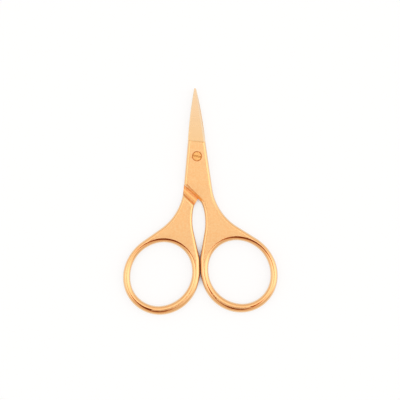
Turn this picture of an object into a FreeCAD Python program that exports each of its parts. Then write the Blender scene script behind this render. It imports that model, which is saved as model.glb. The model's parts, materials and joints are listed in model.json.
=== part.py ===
import FreeCAD, Part
import math
import os

from FreeCAD import Vector

# Cuticle scissors lying closed on their back, in millimetres and degrees. The pivot stands on Z, the tip
# points along +Y, the finger rings lie towards -Y, and the table is z = 0. One forging serves for both
# halves: the front half has its ring at +X and its blade on top, and the rear half is the forging turned
# over about Y.

# Stock of one half
thickness = 3.2           # at the shank and ring, and of the two lapped halves together
round_height = 1.45       # of the polished roundings, which leave a narrow wall between them
edge_round = 1.1          # width of the outline's rounding along box and shank
lap_gap = 0.06            # between the faces that ride on each other

# Box, the straight-sided stretch round the pivot
box_width = 8.44          # at the pivot
box_lean = 6.7            # each side leans outwards towards the ring

# Flare from the box's side out to the ring
flare_distance = 23.0     # pivot to the corner where side and flare would meet, along Y
flare_radius = 21.7       # rounding of that corner
neck_radius = 19.4        # outer edge between the flare and the rim's oval
neck_heading = 26.0       # which way the edge faces where it has become the oval

# Lap, the diagonal joint behind the box
crotch_distance = 16.9    # pivot to the crotch
lap_angle = 45.0          # of the shoulder and of the step
lap_run = 4.0             # from one half's shoulder to the top of the other's step
foot_round = 2.4          # hollow at the foot of the step
brow_round = 1.3          # rounding at its top
corner_rest = 0.2         # plan radius of the corners left inside the edge's rounding

# Throat, the teardrop between the shanks, and the stop where the rings meet
throat_width = 5.0
throat_distance = 25.9    # pivot to the widest point
throat_radius = 23.3      # of each side at the widest point
crotch_radius = 9.0       # from the throat's side into the shoulder
stop_length = 6.6         # between its corners
stop_radius = 12.0        # rounding of its corners
foot_heading = 193.0      # which way the edge faces where it leaves the oval for the stop
stop_gap = 0.12           # between the two rings when closed
stop_rise = 0.3           # of the stop over the ring's oval

# Ring: an oval hole in a rounder oval rim that is thickest at its foot
hole_length = 26.2
hole_width = 24.0
ring_tilt = 53.0          # of the ovals' long axes, from the inner top to the outer foot
ring_distance = 47.4      # pivot to the middle of the rim's oval, along Y
rim_end = 2.54            # rim on the long axis, before the hole is raised
rim_side = 3.07           # rim on the short axis
hole_rise = 0.75          # the hole's middle lies this much nearer to the pivot than the rim's
rim_foot_round = 2.1      # width of the outline's rounding at the foot of the rim
hole_top_round = 1.65     # width of the hole's rounding at its top
hole_foot_round = 1.3     # and at its foot

# Blade, ground flat from the grind line to the tip
blade_length = 27.2       # pivot to tip
tip_width = 0.9
tip_thickness = 0.5
grind_distance = 6.1      # pivot to the grind line
grind_skew = 8.2          # the grind line slopes back towards the cutting edge
grind_step = 0.3          # depth of the first cut
grind_runout = 0.4        # length of the slope down into it
spine_bulge = 0.3         # of the blade's back over its chord
spine_round = 0.35
bevel_angle = 60.0        # of the cutting edge, from the inner face
edge_land = 0.1           # left below the bevel
hollow_radius = 25.0      # hollow-ground inner face
hollow_depth = 0.1        # at its start, fading out towards the tip
hollow_start = 9.0        # pivot to the hollow
hollow_end = 24.0

# Pivot screw: slotted head in the front half, shoulder and thread in the rear half
head_diameter = 3.8
head_height = 0.8
head_sink = 0.05          # below the front face
head_chamfer = 0.2
slot_width = 0.75
slot_depth = 0.5
slot_turn = -15.0
journal_diameter = 2.5
thread_diameter = 2.0
tail_sink = 0.05          # above the back face
tail_chamfer = 0.1

# Clearances of the pivot
head_clearance = 0.12     # round the head
head_float = 0.02         # under the head
journal_clearance = 0.03  # round the journal
thread_clearance = 0.01   # round the thread

lap_face = (thickness + lap_gap) / 2
rear_lap_face = thickness - lap_face
ground_root = thickness - grind_step
head_top = thickness - head_sink
head_under = head_top - head_height
full_round = min(round_height, 0.48 * thickness)
rim_share = 0.97          # of the rim's width, at most, is rounded, so that its crest stays flat
round_strips = 6          # narrow bands that make up a quarter round
beyond = 20.0             # cutting tools reach this far past the forging
tiny = 1e-4

UP = Vector(0, 0, 1)
TO_TIP = Vector(0, 1, 0)


def polar(angle):
    """Unit direction in the plan."""
    return Vector(math.cos(math.radians(angle)), math.sin(math.radians(angle)), 0)


def line(start, end):
    return Part.LineSegment(start, end).toShape()


def arc(start, middle, end):
    return Part.Arc(start, middle, end).toShape()


def arc_about(centre, start, end):
    """Ends and middle of an arc under a half circle."""
    radius = centre.distanceToPoint(start)
    return start, centre + (start + end - centre * 2).normalize() * radius, end


def rounded_corner(before, corner, after, radius):
    """Arc in place of the corner between two straight runs."""
    arriving = (corner - before).normalize()
    leaving = (after - corner).normalize()
    half_turn = arriving.getAngle(leaving) / 2
    setback = radius * math.tan(half_turn)
    centre = corner + (leaving - arriving).normalize() * (radius / math.cos(half_turn))
    return arc_about(centre, corner - arriving * setback, corner + leaving * setback)


def touch_point(point, centre, radius, side):
    """Where a line from the point touches a circle: left (1) or right (-1) of the point, from the centre."""
    away = point - centre
    turn = side * math.acos(radius / away.Length)
    return centre + polar(math.degrees(math.atan2(away.y, away.x) + turn)) * radius


def outline(arcs):
    """Closed wire of arcs (start, middle, end), with straight runs between them."""
    edges = []
    for this, following in zip(arcs, arcs[1:] + arcs[:1]):
        edges.append(arc(*this))
        if this[-1].distanceToPoint(following[0]) > tiny:
            edges.append(line(this[-1], following[0]))
    return Part.Wire(edges)


def inset(arcs, depth_at):
    """The same clockwise outline moved inwards, each arc by the depths at its three points."""
    moved = []
    for start, middle, end in arcs:
        centre = Part.Circle(start, middle, end).Center
        side = 1 if (middle - start).cross(end - middle).z < 0 else -1
        moved.append(tuple(
            point + (centre - point).normalize() * (side * depth_at(point)) for point in (start, middle, end)
        ))
    return moved


def rounded_plate(arcs, width_at, outwards=False):
    """Plate of full thickness with a rounding along its edge, of a width that may change along the way."""
    side = -1 if outwards else 1
    sections = []
    for strip in range(round_strips + 1):
        turn = polar(90 * strip / round_strips)
        arcs_here = inset(arcs, lambda point: side * width_at(point) * (1 - turn.y))
        sections.append((outline(arcs_here), full_round * (1 - turn.x)))
    sections += [(wire, thickness - level) for wire, level in reversed(sections)]
    return Part.makeLoft([wire.translated(UP * level) for wire, level in sections], True, True)


def profile_prism(edges, sweep):
    return Part.Face(Part.Wire(edges)).extrude(sweep)


def polygon_prism(points, sweep):
    return Part.Face(Part.makePolygon(points + points[:1])).extrude(sweep)


def middle_of(edge):
    return edge.valueAt((edge.FirstParameter + edge.LastParameter) / 2)


def plan_distance(one, other):
    return math.hypot(one.x - other.x, one.y - other.y)


class Oval:
    """Oval of four arcs in the plan, long axis at -ring_tilt. A heading is the way its edge faces."""

    def __init__(self, centre, length, width):
        self.centre = centre
        spread = (length - width) / 2 / (math.sqrt(2) - 1)
        self.offset = spread * math.sqrt(0.5)
        self.end_radius = length / 2 - self.offset
        self.side_radius = self.end_radius + spread

    def circle(self, heading):
        """Centre and radius of the arc that faces this way."""
        quarter = (heading + ring_tilt + 45) // 90
        outward = polar(90 * quarter - ring_tilt)
        if quarter % 2 == 0:
            return self.centre + outward * self.offset, self.end_radius
        return self.centre - outward * self.offset, self.side_radius

    def point(self, heading):
        centre, radius = self.circle(heading)
        return centre + polar(heading) * radius

    def arcs(self, start, end):
        """Arcs clockwise from one heading to another, split where the quarters meet."""
        first_joint = start - (start + ring_tilt - 45) % 90
        quarters = math.ceil((first_joint - end) / 90)
        joints = [first_joint - 90 * quarter for quarter in range(quarters)]
        headings = [start] + joints + [end]
        return [
            (self.point(first), self.point((first + last) / 2), self.point(last))
            for first, last in zip(headings, headings[1:])
        ]


def ring_ovals():
    """Rim and hole of the +X ring, with the rim stop_rise behind the stop."""
    length = hole_length + 2 * rim_end
    width = hole_width + 2 * rim_side
    reach = Oval(Vector(), length, width).point(0).x
    rim = Oval(Vector(stop_gap / 2 + stop_rise + reach, -ring_distance, 0), length, width)
    hole = Oval(rim.centre + TO_TIP * hole_rise, hole_length, hole_width)
    return rim, hole


def side_point(y, side):
    """Point of the box's straight side at +X (side 1) or -X (side -1)."""
    return Vector(side * (box_width / 2 - y * math.tan(math.radians(box_lean))), y, 0)


def meet_side(point, direction, side):
    """Where a line in the plan meets the box's straight side."""
    edge = side_point(1, side) - side_point(0, side)
    offset = side_point(0, side) - point
    return point + direction * (offset.cross(edge).z / direction.cross(edge).z)


def grind_ends():
    """Ends of the grind line on the -X and +X sides."""
    middle = Vector(0, grind_distance, 0)
    return [meet_side(middle, polar(-grind_skew), side) for side in (-1, 1)]


def crotch_arc(crotch, shoulder, throat_centre):
    """Arc from the throat's side, inside its circle, into the shoulder's line."""
    gap_side = Vector(-shoulder.y, shoulder.x, 0)
    offset = crotch + gap_side * crotch_radius - throat_centre
    slack = throat_radius - crotch_radius
    across = offset.dot(shoulder)
    run = across + math.sqrt(across ** 2 + slack ** 2 - offset.dot(offset))
    centre = crotch - shoulder * run + gap_side * crotch_radius
    on_side = throat_centre + (centre - throat_centre).normalize() * throat_radius
    return arc_about(centre, on_side, crotch - shoulder * run)


def handle_outline(rim):
    """Plan of box, shank and ring, clockwise, as arcs. Its straight sides run on past the grind line."""
    side_ends = [side_point(grind_distance + box_width / 2, side) for side in (-1, 1)]
    corner_radius = edge_round + corner_rest

    flare_corner = side_point(-flare_distance, 1)
    rim_centre, rim_radius = rim.circle(neck_heading)
    neck_centre = rim_centre - polar(neck_heading) * (neck_radius - rim_radius)
    neck_start = touch_point(flare_corner, neck_centre, neck_radius, -1)

    foot = rim.point(foot_heading)
    foot_run = polar(foot_heading - 90)
    stop_low = foot + foot_run * ((stop_gap / 2 - foot.x) / foot_run.x)
    stop_high = stop_low + TO_TIP * stop_length

    throat_centre = Vector(throat_width / 2 - throat_radius, -throat_distance, 0)
    throat_start = touch_point(stop_high, throat_centre, throat_radius, 1)
    crotch = Vector(0, -crotch_distance, 0)
    shoulder = polar(180 - lap_angle)
    crotch_turn = crotch_arc(crotch, shoulder, throat_centre)
    shoulder_end = meet_side(crotch, shoulder, -1)

    return [
        rounded_corner(*side_ends, flare_corner, corner_radius),
        rounded_corner(side_ends[1], flare_corner, neck_start, flare_radius),
        arc_about(neck_centre, neck_start, rim.point(neck_heading)),
        *rim.arcs(neck_heading, foot_heading - 360),
        rounded_corner(foot, stop_low, stop_high, stop_radius),
        rounded_corner(stop_low, stop_high, throat_start, stop_radius),
        arc_about(throat_centre, throat_start, crotch_turn[0]),
        crotch_turn,
        rounded_corner(crotch, shoulder_end, side_ends[0], corner_radius),
        rounded_corner(shoulder_end, *side_ends, corner_radius),
    ]


def widening(oval, at_top, at_foot):
    """Width of a rounding that changes evenly from the top of a ring's oval to its foot."""
    top = oval.point(90).y
    foot = oval.point(-90).y

    def width(point):
        share = min(max((top - point.y) / (top - foot), 0), 1)
        return at_top + (at_foot - at_top) * share

    return width


def handle():
    """Box, shank and ring at full thickness, up to the grind line."""
    rim, hole = ring_ovals()
    hole_edge = [hole.point(heading) for heading in range(360)]
    hole_width = widening(hole, hole_top_round, hole_foot_round)
    wanted_width = widening(rim, edge_round, rim_foot_round)

    def edge_width(point):
        nearest = min(hole_edge, key=lambda other: plan_distance(point, other))
        room = rim_share * plan_distance(point, nearest) - hole_width(nearest)
        return min(wanted_width(point), room)

    plate = rounded_plate(handle_outline(rim), edge_width)
    finger_hole = rounded_plate(hole.arcs(0, -360), hole_width, outwards=True)
    grind_left, grind_right = grind_ends()
    along = (grind_right - grind_left).normalize()
    start = grind_left - along * beyond
    end = grind_right + along * beyond
    ahead = TO_TIP * beyond
    past_grind_line = polygon_prism([start, end, end + ahead, start + ahead], UP * thickness)
    return plate.cut(finger_hole).cut(past_grind_line)


def lap_cutter():
    """Takes away the back half of the stock on the blade's side of the step, which is an S in section."""
    along = polar(lap_angle)
    ahead = polar(lap_angle + 90)
    reach = blade_length + crotch_distance + beyond
    start = Vector(0, -crotch_distance, 0) - ahead * lap_run - along * reach
    steepest = math.degrees(math.acos(max(1 - lap_face / (brow_round + foot_round), 0)))
    foot_run = (brow_round + foot_round) * polar(steepest).y

    def at(run, level):
        return start + ahead * run + UP * level

    def brow(angle):
        turn = polar(angle)
        return at(brow_round * turn.y, brow_round * (1 - turn.x))

    def foot(angle):
        turn = polar(angle)
        return at(foot_run - foot_round * turn.y, lap_face - foot_round * (1 - turn.x))

    profile = [
        line(at(0, -beyond), at(0, 0)),
        arc(brow(0), brow(steepest / 2), brow(steepest)),
        arc(foot(steepest), foot(steepest / 2), foot(0)),
        line(foot(0), at(reach, lap_face)),
        line(at(reach, lap_face), at(reach, -beyond)),
        line(at(reach, -beyond), at(0, -beyond)),
    ]
    if lap_face > brow_round + foot_round + tiny:
        profile.insert(2, line(brow(steepest), foot(steepest)))
    return profile_prism(profile, along * (2 * reach))


def grinding_cutter():
    """Takes away what lies over the blade's ground face, with the slope at the grind line."""
    along = polar(-grind_skew)
    ahead = polar(90 - grind_skew)
    start = Vector(0, grind_distance, 0) - along * beyond
    tip_run = (blade_length - grind_distance) * ahead.y
    fall = (ground_root - lap_face - tip_thickness) / tip_run
    end_run = tip_run + beyond

    def at(run, level):
        return start + ahead * run + UP * level

    return polygon_prism([
        at(0, ground_root),
        at(end_run, ground_root - fall * end_run),
        at(end_run, thickness + grind_step),
        at(-2 * grind_runout, thickness + grind_step),
    ], along * (2 * beyond))


def bevel_cutter(root, tip):
    """Takes away what lies over the cutting edge's bevel."""
    along = (tip - root).normalize()
    outward = Vector(along.y, -along.x, 0)
    start = root - along * beyond + UP * (lap_face + edge_land)
    inward_run = thickness / math.tan(math.radians(bevel_angle))
    return polygon_prism([
        start,
        start + UP * thickness - outward * inward_run,
        start + UP * thickness + outward * beyond,
        start + outward * beyond,
    ], along * (blade_length + 2 * beyond))


def hollow_cutter():
    """Shallow cylinder along the inner face, tilted so that its groove fades out."""
    start = Vector(0, hollow_start, lap_face + hollow_depth - hollow_radius)
    axis = Vector(0, hollow_end, lap_face - hollow_radius) - start
    return Part.makeCylinder(hollow_radius, 2 * axis.Length, start, axis)


def blade():
    """Blade from the grind line to the tip, cutting edge at +X and spine at -X."""
    grind_left, grind_right = grind_ends()
    tip = Vector(0, blade_length, 0)
    tip_left = tip + Vector(-tip_width / 2, -tip_width / 2, 0)
    tip_right = tip + Vector(tip_width / 2, -tip_width / 2, 0)
    chord = (tip_left - grind_left).normalize()
    belly = (grind_left + tip_left) * 0.5 + Vector(-chord.y, chord.x, 0) * spine_bulge
    spine = arc(grind_left, belly, tip_left)
    plan = [
        spine,
        arc(tip_left, tip, tip_right),
        line(tip_right, grind_right),
        line(grind_right, grind_left),
    ]
    blank = profile_prism(plan, UP * (thickness - lap_face))
    blank.translate(UP * lap_face)
    blank = blank.cut(grinding_cutter())

    def on_spine(edge):
        middle = middle_of(edge)
        on_arc = abs(plan_distance(middle, spine.Curve.Center) - spine.Curve.Radius) < tiny
        return on_arc and middle.z > lap_face + tiny and edge.BoundBox.YLength > tip_width

    blank = blank.makeFillet(spine_round, [edge for edge in blank.Edges if on_spine(edge)])
    return blank.cut(bevel_cutter(grind_right, tip_right)).cut(hollow_cutter())


def forging():
    """One half without its pivot hole, ring at +X, lap face downwards."""
    stock = handle().cut(lap_cutter()).cut(grinding_cutter())
    return stock.fuse(blade()).removeSplitter().Solids[0]


def front_half():
    bore = Part.makeCylinder(journal_diameter / 2 + journal_clearance, thickness)
    recess = Part.makeCylinder(head_diameter / 2 + head_clearance, thickness, UP * (head_under - head_float))
    return forging().cut(bore).cut(recess).Solids[0]


def rear_half():
    half = forging()
    half.rotate(UP * (thickness / 2), TO_TIP, 180)
    tapped_hole = Part.makeCylinder(thread_diameter / 2 + thread_clearance, thickness)
    return half.cut(tapped_hole).Solids[0]


def pivot_screw():
    head = head_diameter / 2
    journal = journal_diameter / 2
    thread = thread_diameter / 2

    def at(radius, level):
        return Vector(radius, 0, level)

    profile = [
        line(at(0, head_top), at(0, tail_sink)),
        line(at(0, tail_sink), at(thread - tail_chamfer, tail_sink)),
        line(at(thread - tail_chamfer, tail_sink), at(thread, tail_sink + tail_chamfer)),
        line(at(thread, tail_sink + tail_chamfer), at(thread, rear_lap_face)),
        line(at(thread, rear_lap_face), at(journal, rear_lap_face)),
        line(at(journal, rear_lap_face), at(journal, head_under)),
        line(at(journal, head_under), at(head, head_under)),
        line(at(head, head_under), at(head, head_top - head_chamfer)),
        line(at(head, head_top - head_chamfer), at(head - head_chamfer, head_top)),
        line(at(head - head_chamfer, head_top), at(0, head_top)),
    ]
    screw = Part.Face(Part.Wire(profile)).revolve(Vector(), UP, 360)
    slot = Part.makeBox(2 * head_diameter, slot_width, 2 * slot_depth,
                        Vector(-head_diameter, -slot_width / 2, head_top - slot_depth))
    slot.rotate(Vector(), UP, slot_turn)
    return screw.cut(slot).Solids[0]


def main():
    os.makedirs("parts", exist_ok=True)
    pieces = {
        "front_blade": front_half(),
        "rear_blade": rear_half(),
        "pivot_screw": pivot_screw(),
    }
    for name, shape in pieces.items():
        shape.exportStep(f"parts/{name}.step")
        print(name, shape.isValid(), round(shape.Volume, 2))


main()
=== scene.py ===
import bpy
import json
from math import cos, radians, sin, tan
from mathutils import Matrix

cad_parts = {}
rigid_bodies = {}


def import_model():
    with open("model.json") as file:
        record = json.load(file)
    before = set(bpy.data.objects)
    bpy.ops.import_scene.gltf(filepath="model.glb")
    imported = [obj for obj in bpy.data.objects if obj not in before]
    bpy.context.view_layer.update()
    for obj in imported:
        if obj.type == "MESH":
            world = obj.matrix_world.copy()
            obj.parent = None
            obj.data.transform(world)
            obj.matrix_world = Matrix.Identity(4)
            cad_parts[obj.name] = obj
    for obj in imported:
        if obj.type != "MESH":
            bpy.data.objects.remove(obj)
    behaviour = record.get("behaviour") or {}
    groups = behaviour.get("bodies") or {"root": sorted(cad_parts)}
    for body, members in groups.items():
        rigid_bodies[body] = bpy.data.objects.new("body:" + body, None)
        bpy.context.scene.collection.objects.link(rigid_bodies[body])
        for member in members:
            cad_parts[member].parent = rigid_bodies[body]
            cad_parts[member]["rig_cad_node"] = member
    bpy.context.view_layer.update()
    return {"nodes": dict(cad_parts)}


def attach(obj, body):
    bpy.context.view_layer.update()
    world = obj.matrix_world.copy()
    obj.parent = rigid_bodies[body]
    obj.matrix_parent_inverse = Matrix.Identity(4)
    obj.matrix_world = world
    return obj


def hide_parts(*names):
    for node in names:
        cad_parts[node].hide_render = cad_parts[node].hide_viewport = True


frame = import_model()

# Rear half: one steel forging with blade, box, shank and finger ring, lying underneath with its ring at -X.
# Its flats are blasted to a satin, edges and ring are polished, the blade is ground, the lap is milled, and
# the whole half is then plated with gold.
mm = 0.001
middle = 1.6 * mm            # half the thickness of the closed pair
face_height = 1.55 * mm      # flats further from the middle than this are outer faces
grind_distance = 5.9 * mm    # pivot to just short of the grind line, where the blade's ground face begins
grind_slope = tan(radians(8.2))
step_from, step_to = -24 * mm, -14 * mm   # the stretch that holds the step of the lap
grind_rise = 0.5 * mm        # length within which the ground face rises to the flat, at the grind line
recess_radius = 2.2 * mm     # everything nearer to the pivot belongs to the screw's recess and bore
inner_height = 0.48 * mm     # inner faces lie nearer to the middle than this
lap_turn = radians(45)       # the lap's shoulder and step run on a diagonal
merge_distance = 0.002 * mm
crisp_angle = radians(28)    # edges that turn more than this stay crisp


def closed_skin(node, name):
    """A copy of a solid with its triangles merged, its rounded edges smooth and its crisp edges kept."""
    bpy.ops.object.select_all(action="DESELECT")
    solid = frame["nodes"][node]
    solid.select_set(True)
    bpy.context.view_layer.objects.active = solid
    bpy.ops.object.duplicate()
    piece = bpy.context.object
    piece.name = name
    piece.data.name = name
    del piece["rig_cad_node"]
    bpy.ops.mesh.customdata_custom_splitnormals_clear()
    bpy.ops.object.mode_set(mode="EDIT")
    bpy.ops.mesh.select_all(action="SELECT")
    bpy.ops.mesh.remove_doubles(threshold=merge_distance)
    bpy.ops.object.mode_set(mode="OBJECT")
    bpy.ops.object.shade_smooth_by_angle(angle=crisp_angle)
    piece.modifiers.new("flats stay flat", "WEIGHTED_NORMAL")
    piece.modifiers["flats stay flat"].keep_sharp = True
    bpy.ops.object.modifier_apply(modifier="flats stay flat")
    return piece


def linear(code):
    """An sRGB hex colour as linear light."""
    parts = [int(code[i:i + 2], 16) / 255 for i in (1, 3, 5)]
    return [p / 12.92 if p <= 0.04045 else ((p + 0.055) / 1.055) ** 2.4 for p in parts] + [1.0]


def add_node(tree, kind, inputs=None, **settings):
    """A node with its settings, each named input set to a value or linked to another node's output."""
    made = tree.nodes.new(kind)
    for setting, value in settings.items():
        setattr(made, setting, value)
    for socket, value in (inputs or {}).items():
        if isinstance(value, bpy.types.NodeSocket):
            tree.links.new(value, made.inputs[socket])
        else:
            made.inputs[socket].default_value = value
    return made


def new_tree(name):
    """An empty material and its node tree."""
    material = bpy.data.materials.new(name)
    material.use_nodes = True
    material.node_tree.nodes.clear()
    return material, material.node_tree


# Satin gold plate: steel blasted with fine beads before plating. It spreads the light evenly, with a faint
# mottle of the grain. The grain of 0.1 mm is drawn at 0.6 mm, because finer would not show.
satin_plate, tree = new_tree("satin_gold_plate")
place = add_node(tree, "ShaderNodeTexCoord")
grain = add_node(tree, "ShaderNodeTexNoise", {"Vector": place.outputs["Object"], "Scale": 1 / (0.6 * mm),
                 "Detail": 3.0, "Roughness": 0.6})
cloud = add_node(tree, "ShaderNodeTexNoise", {"Vector": place.outputs["Object"], "Scale": 1 / (5 * mm),
                 "Detail": 2.0})
tone = add_node(tree, "ShaderNodeMix", {"Factor": cloud.outputs["Fac"], "A": linear("#FFC987"),
                "B": linear("#FBCE91")}, data_type="RGBA")
speck = add_node(tree, "ShaderNodeMapRange", {"Value": grain.outputs["Fac"], "From Min": 0.3, "From Max": 0.7,
                 "To Min": 0.0, "To Max": 1.0})
colour = add_node(tree, "ShaderNodeMix", {"Factor": speck.outputs["Result"], "A": tone.outputs["Result"],
                  "B": linear("#FFDAA2")}, data_type="RGBA")
matt = add_node(tree, "ShaderNodeMapRange", {"Value": grain.outputs["Fac"], "From Min": 0.25,
                "From Max": 0.75, "To Min": 0.34, "To Max": 0.44})
pits = add_node(tree, "ShaderNodeBump", {"Height": grain.outputs["Fac"], "Strength": 0.15,
                "Distance": 0.02 * mm})
metal = add_node(tree, "ShaderNodeBsdfPrincipled", {"Base Color": colour.outputs["Result"], "Metallic": 1.0,
                 "Roughness": matt.outputs["Result"], "Normal": pits.outputs["Normal"]})
add_node(tree, "ShaderNodeOutputMaterial", {"Surface": metal.outputs["BSDF"]})

# Polished gold plate: edges and ring buffed with a felt wheel. It mirrors the room, so it shows light and
# dark bands, and the buffing leaves soft waves a few millimetres long. A painted highlight makes the colour
# paler where the edge turns down, and painted shade darkens it to brown in corners.
polished_plate, tree = new_tree("polished_gold_plate")
place = add_node(tree, "ShaderNodeTexCoord")
wave = add_node(tree, "ShaderNodeTexNoise", {"Vector": place.outputs["Object"], "Scale": 1 / (3 * mm),
                "Detail": 2.0})
tone = add_node(tree, "ShaderNodeMix", {"Factor": wave.outputs["Fac"], "A": linear("#FFC283"),
                "B": linear("#FBCB94")}, data_type="RGBA")
gloss = add_node(tree, "ShaderNodeMapRange", {"Value": wave.outputs["Fac"], "From Min": 0.3, "From Max": 0.7,
                 "To Min": 0.06, "To Max": 0.13})
ripple = add_node(tree, "ShaderNodeBump", {"Height": wave.outputs["Fac"], "Strength": 0.2,
                  "Distance": 0.03 * mm})
# Painted highlight: the colour turns paler where the edge turns down.
turned_down = add_node(tree, "ShaderNodeAttribute", attribute_name="turned_down")
steep_highlight = add_node(tree, "ShaderNodeMapRange", {"Value": turned_down.outputs["Fac"], "From Min": 0.2,
                "From Max": 0.55, "To Min": 0.0, "To Max": 1.0})
highlight_tone = add_node(tree, "ShaderNodeMix", {"Factor": steep_highlight.outputs["Result"], "A": tone.outputs["Result"],
                "B": linear("#EDD0AB")}, data_type="RGBA")
# Painted shade: the colour darkens to brown where ambient occlusion finds a corner.
open_sky = add_node(tree, "ShaderNodeAmbientOcclusion", {"Distance": 1.0 * mm}, samples=8)
corner = add_node(tree, "ShaderNodeMapRange", {"Value": open_sky.outputs["AO"], "From Min": 0.2,
                  "From Max": 0.8, "To Min": 1.0, "To Max": 0.0})
colour = add_node(tree, "ShaderNodeMix", {"Factor": corner.outputs["Result"], "A": highlight_tone.outputs["Result"],
                  "B": linear("#A0441A")}, data_type="RGBA")
metal = add_node(tree, "ShaderNodeBsdfPrincipled", {"Base Color": colour.outputs["Result"], "Metallic": 1.0,
                 "Roughness": gloss.outputs["Result"], "Normal": ripple.outputs["Normal"]})
add_node(tree, "ShaderNodeOutputMaterial", {"Surface": metal.outputs["BSDF"]})

# Ground gold plate: the blade's face, taken down on a fine wheel that runs across it, then plated. It looks
# paler than the blasted flats, most of all towards the tip. The lines of 0.05 mm are drawn 0.2 mm apart.
ground_plate, tree = new_tree("ground_gold_plate")
place = add_node(tree, "ShaderNodeTexCoord")
along = add_node(tree, "ShaderNodeSeparateXYZ", {"Vector": place.outputs["Object"]})
across = add_node(tree, "ShaderNodeMapping", {"Vector": place.outputs["Object"],
                  "Scale": (1 / (6 * mm), 1 / (0.2 * mm), 1 / (6 * mm))})
lines = add_node(tree, "ShaderNodeTexNoise", {"Vector": across.outputs["Vector"], "Scale": 1.0,
                 "Detail": 2.0})
paler = add_node(tree, "ShaderNodeMapRange", {"Value": along.outputs["Y"], "From Min": 6 * mm,
                 "From Max": 26 * mm, "To Min": 0.0, "To Max": 1.0})
tone = add_node(tree, "ShaderNodeMix", {"Factor": paler.outputs["Result"], "A": linear("#EFCD9A"),
                "B": linear("#EED3AF")}, data_type="RGBA")
# Painted highlight: the colour turns paler where the edge turns down.
turned_down = add_node(tree, "ShaderNodeAttribute", attribute_name="turned_down")
steep_highlight = add_node(tree, "ShaderNodeMapRange", {"Value": turned_down.outputs["Fac"], "From Min": 0.1,
                "From Max": 0.4, "To Min": 0.0, "To Max": 1.0})
colour = add_node(tree, "ShaderNodeMix", {"Factor": steep_highlight.outputs["Result"], "A": tone.outputs["Result"],
                  "B": linear("#F8E0BE")}, data_type="RGBA")
fine = add_node(tree, "ShaderNodeMapRange", {"Value": lines.outputs["Fac"], "From Min": 0.3, "From Max": 0.7,
                "To Min": 0.26, "To Max": 0.36})
score = add_node(tree, "ShaderNodeBump", {"Height": lines.outputs["Fac"], "Strength": 0.12,
                 "Distance": 0.02 * mm})
metal = add_node(tree, "ShaderNodeBsdfPrincipled", {"Base Color": colour.outputs["Result"], "Metallic": 1.0,
                 "Roughness": fine.outputs["Result"], "Normal": score.outputs["Normal"]})
add_node(tree, "ShaderNodeOutputMaterial", {"Surface": metal.outputs["BSDF"]})

# Milled gold plate: the lap's floor and shoulder and the inner faces, left as the cutter made them. The plate
# is deeper in colour there, with arcs of the cutter 0.3 mm apart, and painted reflection makes raised faces,
# most of all the shoulder, deeper still.
wave_period = 0.31   # of a wave texture at scale 1
milled_plate, tree = new_tree("milled_gold_plate")
place = add_node(tree, "ShaderNodeTexCoord")
arcs = add_node(tree, "ShaderNodeTexWave", {"Vector": place.outputs["Object"],
                "Scale": wave_period / (0.3 * mm), "Distortion": 1.0, "Detail": 2.0},
                wave_type="RINGS", rings_direction="Z")
tone = add_node(tree, "ShaderNodeMix", {"Factor": arcs.outputs["Fac"], "A": linear("#FFBB75"),
                "B": linear("#FDC181")}, data_type="RGBA")
depth = add_node(tree, "ShaderNodeSeparateXYZ", {"Vector": place.outputs["Object"]})
off_middle = add_node(tree, "ShaderNodeMath", {0: depth.outputs["Z"], 1: middle}, operation="SUBTRACT")
rise = add_node(tree, "ShaderNodeMath", {0: off_middle.outputs["Value"]}, operation="ABSOLUTE")
# Painted reflection: faces raised off the middle, most of all the shoulder and the recess wall, turn a deeper
# orange, as gold mirrored in gold.
raised_reflection = add_node(tree, "ShaderNodeMapRange", {"Value": rise.outputs["Value"], "From Min": 0.1 * mm,
                  "From Max": 0.5 * mm, "To Min": 0.0, "To Max": 1.0})
colour = add_node(tree, "ShaderNodeMix", {"Factor": raised_reflection.outputs["Result"], "A": tone.outputs["Result"],
                  "B": linear("#FFB25F")}, data_type="RGBA")
fine = add_node(tree, "ShaderNodeMapRange", {"Value": arcs.outputs["Fac"], "To Min": 0.20, "To Max": 0.28})
score = add_node(tree, "ShaderNodeBump", {"Height": arcs.outputs["Fac"], "Strength": 0.1,
                 "Distance": 0.02 * mm})
metal = add_node(tree, "ShaderNodeBsdfPrincipled", {"Base Color": colour.outputs["Result"], "Metallic": 1.0,
                 "Roughness": fine.outputs["Result"], "Normal": score.outputs["Normal"]})
add_node(tree, "ShaderNodeOutputMaterial", {"Surface": metal.outputs["BSDF"]})


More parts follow.
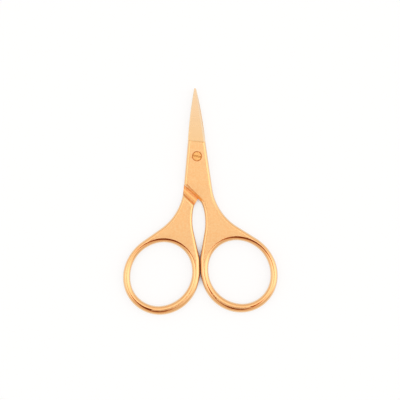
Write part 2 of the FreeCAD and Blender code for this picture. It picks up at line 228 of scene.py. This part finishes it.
def plate_half(piece, front):
    """Gives each face of a half its finish. The rear half is the front half turned over about Y."""
    turned_down = piece.data.attributes.new("turned_down", "FLOAT", "CORNER")
    for corner, normal in zip(turned_down.data, piece.data.corner_normals):
        corner.value = 1 - abs(normal.vector.z)
    piece.data.materials.clear()
    for finish in (polished_plate, satin_plate, ground_plate, milled_plate):
        piece.data.materials.append(finish)
    satin, ground, milled = 1, 2, 3
    level, inward, sloped, steep = 0.995, 0.9, 0.99, 0.3   # how squarely a face looks along Z
    to_tip, on_diagonal = 0.9, 0.97                        # how squarely it looks along Y or across the lap
    side = 1 if front else -1
    for face in piece.data.polygons:
        x, height = side * face.center.x, side * (face.center.z - middle)
        facing = side * face.normal.z
        slope = max(1e-6, 1 - facing ** 2) ** 0.5
        to_shoulder = -(side * face.normal.x + face.normal.y) * sin(lap_turn) / slope
        to_step = (face.normal.y - side * face.normal.x) * sin(lap_turn) / slope
        past_grind = face.center.y - grind_distance - grind_slope * x
        if 0 < past_grind < grind_rise and steep < facing < sloped and face.normal.y > to_tip * slope:
            face.material_index = satin
        elif past_grind > 0 and abs(facing) > steep:
            face.material_index = ground
        elif abs(facing) > level and abs(height) > face_height:
            face.material_index = satin
        elif facing < -inward and abs(height) < inner_height or face.center.xy.length < recess_radius:
            face.material_index = milled
        elif step_from < face.center.y < step_to and facing > 0 and to_shoulder > on_diagonal:
            face.material_index = milled
        elif step_from < face.center.y < step_to and facing < 0 and to_step > on_diagonal:
            face.material_index = satin


rear = closed_skin("rear_blade", "rear_half_plated")
plate_half(rear, front=False)
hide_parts("rear_blade")
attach(rear, "rear_half")

# Front half: the same forging turned over, lying on top with its ring at +X. It is plated like the rear half
# and turns on the screw's journal, with its shoulder ending on a diagonal above the rear half's floor.
front = closed_skin("front_blade", "front_half_plated")
plate_half(front, front=True)
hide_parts("front_blade")
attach(front, "front_half")

# Pivot screw: turned from steel bar, slotted with a saw and plated. It sits in a recess of the front half and
# is screwed into the rear half, so it stays with that one.
screw = closed_skin("pivot_screw", "pivot_screw_turned")

# Turned gold plate: fine rings from the lathe about the screw's axis, with a yellower plate than the flats
# have and painted shade, brown, in the slot. The rings of 0.05 mm are drawn 0.25 mm apart.
turned_plate, tree = new_tree("turned_gold_plate")
place = add_node(tree, "ShaderNodeTexCoord")
rings = add_node(tree, "ShaderNodeTexWave", {"Vector": place.outputs["Object"],
                 "Scale": wave_period / (0.25 * mm), "Distortion": 0.5},
                 wave_type="RINGS", rings_direction="Z")
tone = add_node(tree, "ShaderNodeMix", {"Factor": rings.outputs["Fac"], "A": linear("#FFCA7C"),
                "B": linear("#FFD28A")}, data_type="RGBA")
fine = add_node(tree, "ShaderNodeMapRange", {"Value": rings.outputs["Fac"], "To Min": 0.22, "To Max": 0.34})
score = add_node(tree, "ShaderNodeBump", {"Height": rings.outputs["Fac"], "Strength": 0.15,
                 "Distance": 0.02 * mm})
# Painted shade: the colour darkens to brown in the slot and other corners that ambient occlusion finds.
open_sky = add_node(tree, "ShaderNodeAmbientOcclusion", {"Distance": 0.8 * mm}, samples=8)
corner = add_node(tree, "ShaderNodeMapRange", {"Value": open_sky.outputs["AO"], "From Min": 0.4,
                  "From Max": 0.9, "To Min": 1.0, "To Max": 0.0})
colour = add_node(tree, "ShaderNodeMix", {"Factor": corner.outputs["Result"], "A": tone.outputs["Result"],
                  "B": linear("#C88440")}, data_type="RGBA")
metal = add_node(tree, "ShaderNodeBsdfPrincipled", {"Base Color": colour.outputs["Result"], "Metallic": 1.0,
                 "Roughness": fine.outputs["Result"], "Normal": score.outputs["Normal"]})
add_node(tree, "ShaderNodeOutputMaterial", {"Surface": metal.outputs["BSDF"]})
screw.data.materials.clear()
screw.data.materials.append(turned_plate)
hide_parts("pivot_screw")
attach(screw, "rear_half")

# Table: a matt white sheet that the pair lies on. It is white to the camera and in the metal, and keeps the
# pair's soft shadow, deepened by painted shadow where ambient occlusion is low. In the narrow gap between the
# rings it is painted with the gold of the walls beside it, as painted bounce light.
bpy.ops.object.select_all(action="DESELECT")
table_width, table_drop = 6.0, 0.01 * mm
bpy.ops.mesh.primitive_plane_add(size=table_width, location=(0, 0, -table_drop))
table = bpy.context.object
table.name = "table"
bpy.ops.object.transform_apply(location=True)
white_sheet, tree = new_tree("matt_white_sheet")
ray = add_node(tree, "ShaderNodeLightPath")
seen = add_node(tree, "ShaderNodeMath", {0: ray.outputs["Is Camera Ray"], 1: ray.outputs["Is Glossy Ray"]},
                operation="MAXIMUM")
shown = add_node(tree, "ShaderNodeMath", {0: seen.outputs["Value"], 1: ray.outputs["Is Transmission Ray"]},
                 operation="MAXIMUM")
# Painted shadow: the sheet's glow dims where ambient occlusion is low, and in the narrowest gaps it turns
# gold as painted bounce light.
open_sky = add_node(tree, "ShaderNodeAmbientOcclusion", {"Distance": 4 * mm}, samples=8)
painted_gap_shadow = add_node(tree, "ShaderNodeMapRange", {"Value": open_sky.outputs["AO"], "From Min": 0.1,
               "From Max": 0.45, "To Min": 0.2, "To Max": 0.775})
narrow = add_node(tree, "ShaderNodeMapRange", {"Value": open_sky.outputs["AO"], "From Min": 0.1,
                  "From Max": 0.3, "To Min": 1.0, "To Max": 0.0})
painted_bounce = add_node(tree, "ShaderNodeMix", {"Factor": narrow.outputs["Result"], "A": linear("#FFFFFF"),
                  "B": linear("#D8602A")}, data_type="RGBA")
glow = add_node(tree, "ShaderNodeMath", {0: shown.outputs["Value"], 1: painted_gap_shadow.outputs["Result"]},
                operation="MULTIPLY")
sheet = add_node(tree, "ShaderNodeBsdfDiffuse", {"Color": linear("#888A8C")})
lift = add_node(tree, "ShaderNodeEmission", {"Color": painted_bounce.outputs["Result"],
                "Strength": glow.outputs["Value"]})
both = add_node(tree, "ShaderNodeAddShader", {0: sheet.outputs["BSDF"], 1: lift.outputs["Emission"]})
add_node(tree, "ShaderNodeOutputMaterial", {"Surface": both.outputs["Shader"]})
table.data.materials.append(white_sheet)

# Light: a white tent, brightest overhead, with a lamp behind its cloth on each side and a bright hem. The
# cloth is a little warmer beyond the tip and behind the rings, where it has an opening to a brown room.
studio = bpy.data.worlds.new("light_tent")
bpy.context.scene.world = studio
studio.use_nodes = True
tree = studio.node_tree
tree.nodes.clear()
left_lamp, left_edge, left_core = (-0.5, 0.0, 0.87), radians(24), radians(8)
right_lamp, right_edge, right_core = (0.85, 0.0, 0.53), radians(34), radians(14)
opening_middle = (-0.07, -0.36, 0.0)
opening_half_width, opening_half_length = 0.24, 0.36
sky = add_node(tree, "ShaderNodeTexCoord")
parts = add_node(tree, "ShaderNodeSeparateXYZ", {"Vector": sky.outputs["Generated"]})
cloth = add_node(tree, "ShaderNodeMapRange", {"Value": parts.outputs["Z"], "From Min": 0.0,
                 "From Max": 0.8, "To Min": 0.86, "To Max": 1.1})
overhead = add_node(tree, "ShaderNodeMapRange", {"Value": parts.outputs["Z"], "From Min": 0.8,
                    "From Max": 0.97, "To Min": 1.0, "To Max": 1.24})
to_left = add_node(tree, "ShaderNodeVectorMath", {0: sky.outputs["Generated"], 1: left_lamp},
                   operation="DOT_PRODUCT")
left = add_node(tree, "ShaderNodeMapRange", {"Value": to_left.outputs["Value"], "From Min": cos(left_edge),
                "From Max": cos(left_core), "To Min": 1.0, "To Max": 1.2})
to_right = add_node(tree, "ShaderNodeVectorMath", {0: sky.outputs["Generated"], 1: right_lamp},
                    operation="DOT_PRODUCT")
right = add_node(tree, "ShaderNodeMapRange", {"Value": to_right.outputs["Value"], "From Min": cos(right_edge),
                 "From Max": cos(right_core), "To Min": 1.0, "To Max": 1.5})
side_lamps = add_node(tree, "ShaderNodeMath", {0: left.outputs["Result"], 1: right.outputs["Result"]},
                      operation="MULTIPLY")
all_lamps = add_node(tree, "ShaderNodeMath", {0: overhead.outputs["Result"], 1: side_lamps.outputs["Value"]},
                     operation="MULTIPLY")
level = add_node(tree, "ShaderNodeMath", {0: all_lamps.outputs["Value"], 1: cloth.outputs["Result"]},
                 operation="MULTIPLY")
beyond_tip = add_node(tree, "ShaderNodeMapRange", {"Value": parts.outputs["Y"], "From Min": 0.08,
                      "From Max": 0.45, "To Min": 0.0, "To Max": 1.0})
behind_rings = add_node(tree, "ShaderNodeMapRange", {"Value": parts.outputs["Y"], "From Min": -0.2,
                        "From Max": -0.55, "To Min": 0.0, "To Max": 1.0})
aside = add_node(tree, "ShaderNodeVectorMath", {0: sky.outputs["Generated"], 1: opening_middle},
                 operation="SUBTRACT")
shape = add_node(tree, "ShaderNodeVectorMath", {0: aside.outputs["Vector"],
                 1: (1 / opening_half_width, 1 / opening_half_length, 0.0)}, operation="MULTIPLY")
reach = add_node(tree, "ShaderNodeVectorMath", {0: shape.outputs["Vector"]}, operation="LENGTH")
fold = add_node(tree, "ShaderNodeMapRange", {"Value": reach.outputs["Value"], "From Min": 1.3,
                "From Max": 1.0, "To Min": 0.0, "To Max": 1.0})
opening = add_node(tree, "ShaderNodeMapRange", {"Value": reach.outputs["Value"], "From Min": 1.0,
                   "From Max": 0.6, "To Min": 0.0, "To Max": 1.0})
far_cloth = add_node(tree, "ShaderNodeMix", {"Factor": beyond_tip.outputs["Result"], "A": linear("#FFFFFF"),
                     "B": linear("#EBE1D6")}, data_type="RGBA")
near_cloth = add_node(tree, "ShaderNodeMix", {"Factor": behind_rings.outputs["Result"],
                      "A": far_cloth.outputs["Result"], "B": linear("#DED3C7")}, data_type="RGBA")
warm_cloth = add_node(tree, "ShaderNodeMix", {"Factor": fold.outputs["Result"],
                      "A": near_cloth.outputs["Result"], "B": linear("#C08050")}, data_type="RGBA")
room = add_node(tree, "ShaderNodeMix", {"Factor": opening.outputs["Result"],
                "A": warm_cloth.outputs["Result"], "B": linear("#683418")}, data_type="RGBA")
hem = add_node(tree, "ShaderNodeMapRange", {"Value": parts.outputs["Z"], "From Min": 0.1, "From Max": 0.2,
               "To Min": 1.0, "To Max": 0.0})
lit = add_node(tree, "ShaderNodeBackground", {"Color": room.outputs["Result"],
               "Strength": level.outputs["Value"]})
clear = add_node(tree, "ShaderNodeBackground", {"Color": linear("#FFFFFF"), "Strength": 1.0})
view = add_node(tree, "ShaderNodeMixShader", {0: hem.outputs["Result"], 1: lit.outputs["Background"],
                2: clear.outputs["Background"]})
add_node(tree, "ShaderNodeOutputWorld", {"Surface": view.outputs["Shader"]})
bpy.context.scene.view_settings.view_transform = "Standard"

# Camera: straight above, turned a little so that the tip leans to the left, 160 mm across the picture.
height = 1.0
across = 160 * mm
aim_x, aim_y, turn = 0.71 * mm, -17.47 * mm, radians(-1.6)
bpy.ops.object.camera_add(location=(aim_x, aim_y, height), rotation=(0, 0, turn))
camera = bpy.context.object
camera.name = "camera"
camera.data.sensor_width = 36.0
camera.data.lens = camera.data.sensor_width * height / across
camera.data.clip_start = 0.01
bpy.context.scene.camera = camera
